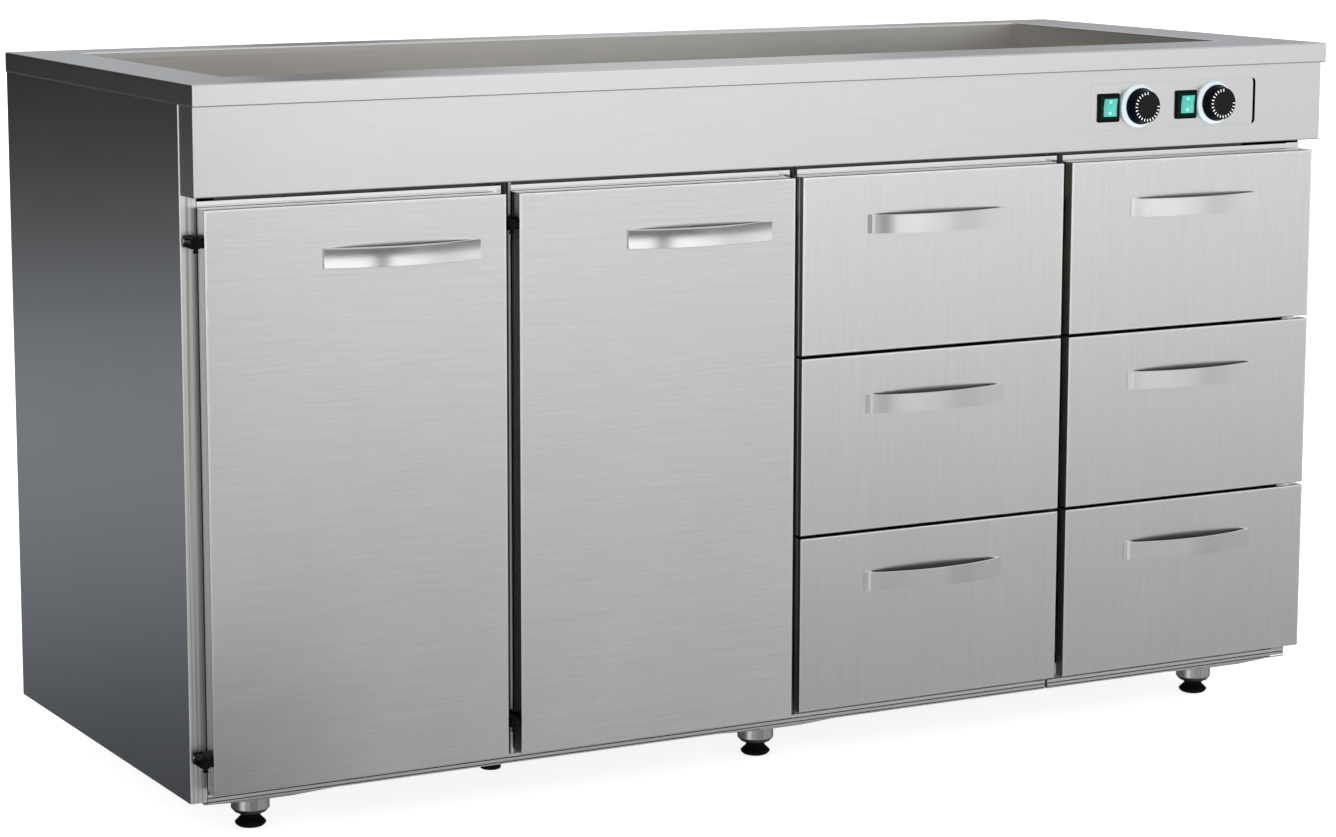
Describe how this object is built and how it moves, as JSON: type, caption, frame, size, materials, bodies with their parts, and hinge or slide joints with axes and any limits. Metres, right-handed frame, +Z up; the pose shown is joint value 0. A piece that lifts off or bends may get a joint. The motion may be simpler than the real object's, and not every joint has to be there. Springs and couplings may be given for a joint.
{
  "type": "bain-marie counter",
  "caption": "Free-standing stainless steel counter with a long open heated water well in its top, hinged cupboard doors and stacked drawers below, and knobs and rocker switches on its fascia.",
  "frame": {"origin": "on the floor, under the middle of the whole object's box", "axes": "+X to the right along the counter as seen from the front, +Y towards the back, +Z up; the front faces -Y"},
  "size_m": [1.6, 0.6632, 0.894],
  "materials": {
    "stainless_steel": "brushed satin stainless",
    "well_steel": "satin stainless",
    "inner_steel": "mill-finish stainless",
    "galvanised_steel": "galvanised",
    "black_plastic": "moulded black",
    "switch_lens": "translucent green, lit",
    "dial_plastic": "pale moulded",
    "mineral_wool": "mineral wool",
    "heater_sheath": "heat-tinted sheath"
  },
  "bodies": {
    "cabinet": {"worktop": "stainless_steel", "well_basin": "well_steel", "heating_elements": "heater_sheath", "basin_insulation": "mineral_wool", "basin_jacket": "galvanised_steel", "drain_strainer": "stainless_steel", "drain_pipe": "black_plastic", "fascia_panel": "stainless_steel", "control_plate": "stainless_steel", "switch_housings": "black_plastic", "knob_dials": "dial_plastic", "thermostats": "black_plastic", "left_side_panel": "stainless_steel", "right_side_panel": "stainless_steel", "back_panel": "inner_steel", "floor_panel": "inner_steel", "base_rails": "galvanised_steel", "partitions": "inner_steel", "top_rails": "stainless_steel", "cupboard_shelves": "inner_steel", "hinge_brackets": "black_plastic", "drawer_runners": "galvanised_steel", "foot_sockets": "stainless_steel", "cable_gland": "black_plastic"},
    "left_door": {"left_door_skin": "stainless_steel", "left_door_liner": "inner_steel", "left_door_handle": "stainless_steel", "left_door_hinge_leaves": "black_plastic"},
    "right_door": {"right_door_skin": "stainless_steel", "right_door_liner": "inner_steel", "right_door_handle": "stainless_steel", "right_door_hinge_leaves": "black_plastic"},
    "left_upper_drawer": {"left_upper_drawer_front": "stainless_steel", "left_upper_drawer_box": "inner_steel", "left_upper_drawer_handle": "stainless_steel"},
    "left_middle_drawer": {"left_middle_drawer_front": "stainless_steel", "left_middle_drawer_box": "inner_steel", "left_middle_drawer_handle": "stainless_steel"},
    "left_lower_drawer": {"left_lower_drawer_front": "stainless_steel", "left_lower_drawer_box": "inner_steel", "left_lower_drawer_handle": "stainless_steel"},
    "right_upper_drawer": {"right_upper_drawer_front": "stainless_steel", "right_upper_drawer_box": "inner_steel", "right_upper_drawer_handle": "stainless_steel"},
    "right_middle_drawer": {"right_middle_drawer_front": "stainless_steel", "right_middle_drawer_box": "inner_steel", "right_middle_drawer_handle": "stainless_steel"},
    "right_lower_drawer": {"right_lower_drawer_front": "stainless_steel", "right_lower_drawer_box": "inner_steel", "right_lower_drawer_handle": "stainless_steel"},
    "left_knob_body": {"left_knob": "black_plastic"},
    "left_rocker_body": {"left_rocker": "switch_lens"},
    "right_knob_body": {"right_knob": "black_plastic"},
    "right_rocker_body": {"right_rocker": "switch_lens"},
    "front_left_foot_body": {"front_left_foot": "black_plastic"},
    "front_middle_foot_body": {"front_middle_foot": "black_plastic"},
    "front_right_foot_body": {"front_right_foot": "black_plastic"},
    "rear_left_foot_body": {"rear_left_foot": "black_plastic"},
    "rear_middle_foot_body": {"rear_middle_foot": "black_plastic"},
    "rear_right_foot_body": {"rear_right_foot": "black_plastic"}
  },
  "joints": [
    {"name": "left_door_hinge", "type": "hinge", "parent": "cabinet", "child": "left_door", "pos_m": [-0.7902, -0.2954, 0.4135], "axis": [0, 0, -1], "range_deg": [0, 110]},
    {"name": "right_door_hinge", "type": "hinge", "parent": "cabinet", "child": "right_door", "pos_m": [-0.3931, -0.2954, 0.4135], "axis": [0, 0, -1], "range_deg": [0, 110]},
    {"name": "left_upper_drawer_slide", "type": "slide", "parent": "cabinet", "child": "left_upper_drawer", "axis": [0, -1, 0], "range_m": [0, 0.4]},
    {"name": "left_middle_drawer_slide", "type": "slide", "parent": "cabinet", "child": "left_middle_drawer", "axis": [0, -1, 0], "range_m": [0, 0.4]},
    {"name": "left_lower_drawer_slide", "type": "slide", "parent": "cabinet", "child": "left_lower_drawer", "axis": [0, -1, 0], "range_m": [0, 0.4]},
    {"name": "right_upper_drawer_slide", "type": "slide", "parent": "cabinet", "child": "right_upper_drawer", "axis": [0, -1, 0], "range_m": [0, 0.4]},
    {"name": "right_middle_drawer_slide", "type": "slide", "parent": "cabinet", "child": "right_middle_drawer", "axis": [0, -1, 0], "range_m": [0, 0.4]},
    {"name": "right_lower_drawer_slide", "type": "slide", "parent": "cabinet", "child": "right_lower_drawer", "axis": [0, -1, 0], "range_m": [0, 0.4]},
    {"name": "left_knob_turn", "type": "hinge", "parent": "cabinet", "child": "left_knob_body", "pos_m": [0.5002, -0.3184, 0.8213], "axis": [0, 1, 0], "range_deg": [0, 270]},
    {"name": "right_knob_turn", "type": "hinge", "parent": "cabinet", "child": "right_knob_body", "pos_m": [0.6212, -0.3184, 0.8213], "axis": [0, 1, 0], "range_deg": [0, 270]},
    {"name": "left_rocker_tilt", "type": "hinge", "parent": "cabinet", "child": "left_rocker_body", "pos_m": [0.4533, -0.3109, 0.8204], "axis": [1, 0, 0], "range_deg": [-10, 0]},
    {"name": "right_rocker_tilt", "type": "hinge", "parent": "cabinet", "child": "right_rocker_body", "pos_m": [0.576, -0.3109, 0.8204], "axis": [1, 0, 0], "range_deg": [-10, 0]},
    {"name": "front_left_foot_turn", "type": "hinge", "parent": "cabinet", "child": "front_left_foot_body", "pos_m": [-0.6972, -0.1999, 0.03], "axis": [0, 0, 1], "continuous": true},
    {"name": "front_middle_foot_turn", "type": "hinge", "parent": "cabinet", "child": "front_middle_foot_body", "pos_m": [0, -0.1999, 0.03], "axis": [0, 0, 1], "continuous": true},
    {"name": "front_right_foot_turn", "type": "hinge", "parent": "cabinet", "child": "front_right_foot_body", "pos_m": [0.6972, -0.1999, 0.03], "axis": [0, 0, 1], "continuous": true},
    {"name": "rear_left_foot_turn", "type": "hinge", "parent": "cabinet", "child": "rear_left_foot_body", "pos_m": [-0.6972, 0.2416, 0.03], "axis": [0, 0, 1], "continuous": true},
    {"name": "rear_middle_foot_turn", "type": "hinge", "parent": "cabinet", "child": "rear_middle_foot_body", "pos_m": [0, 0.2416, 0.03], "axis": [0, 0, 1], "continuous": true},
    {"name": "rear_right_foot_turn", "type": "hinge", "parent": "cabinet", "child": "rear_right_foot_body", "pos_m": [0.6972, 0.2416, 0.03], "axis": [0, 0, 1], "continuous": true}
  ]
}
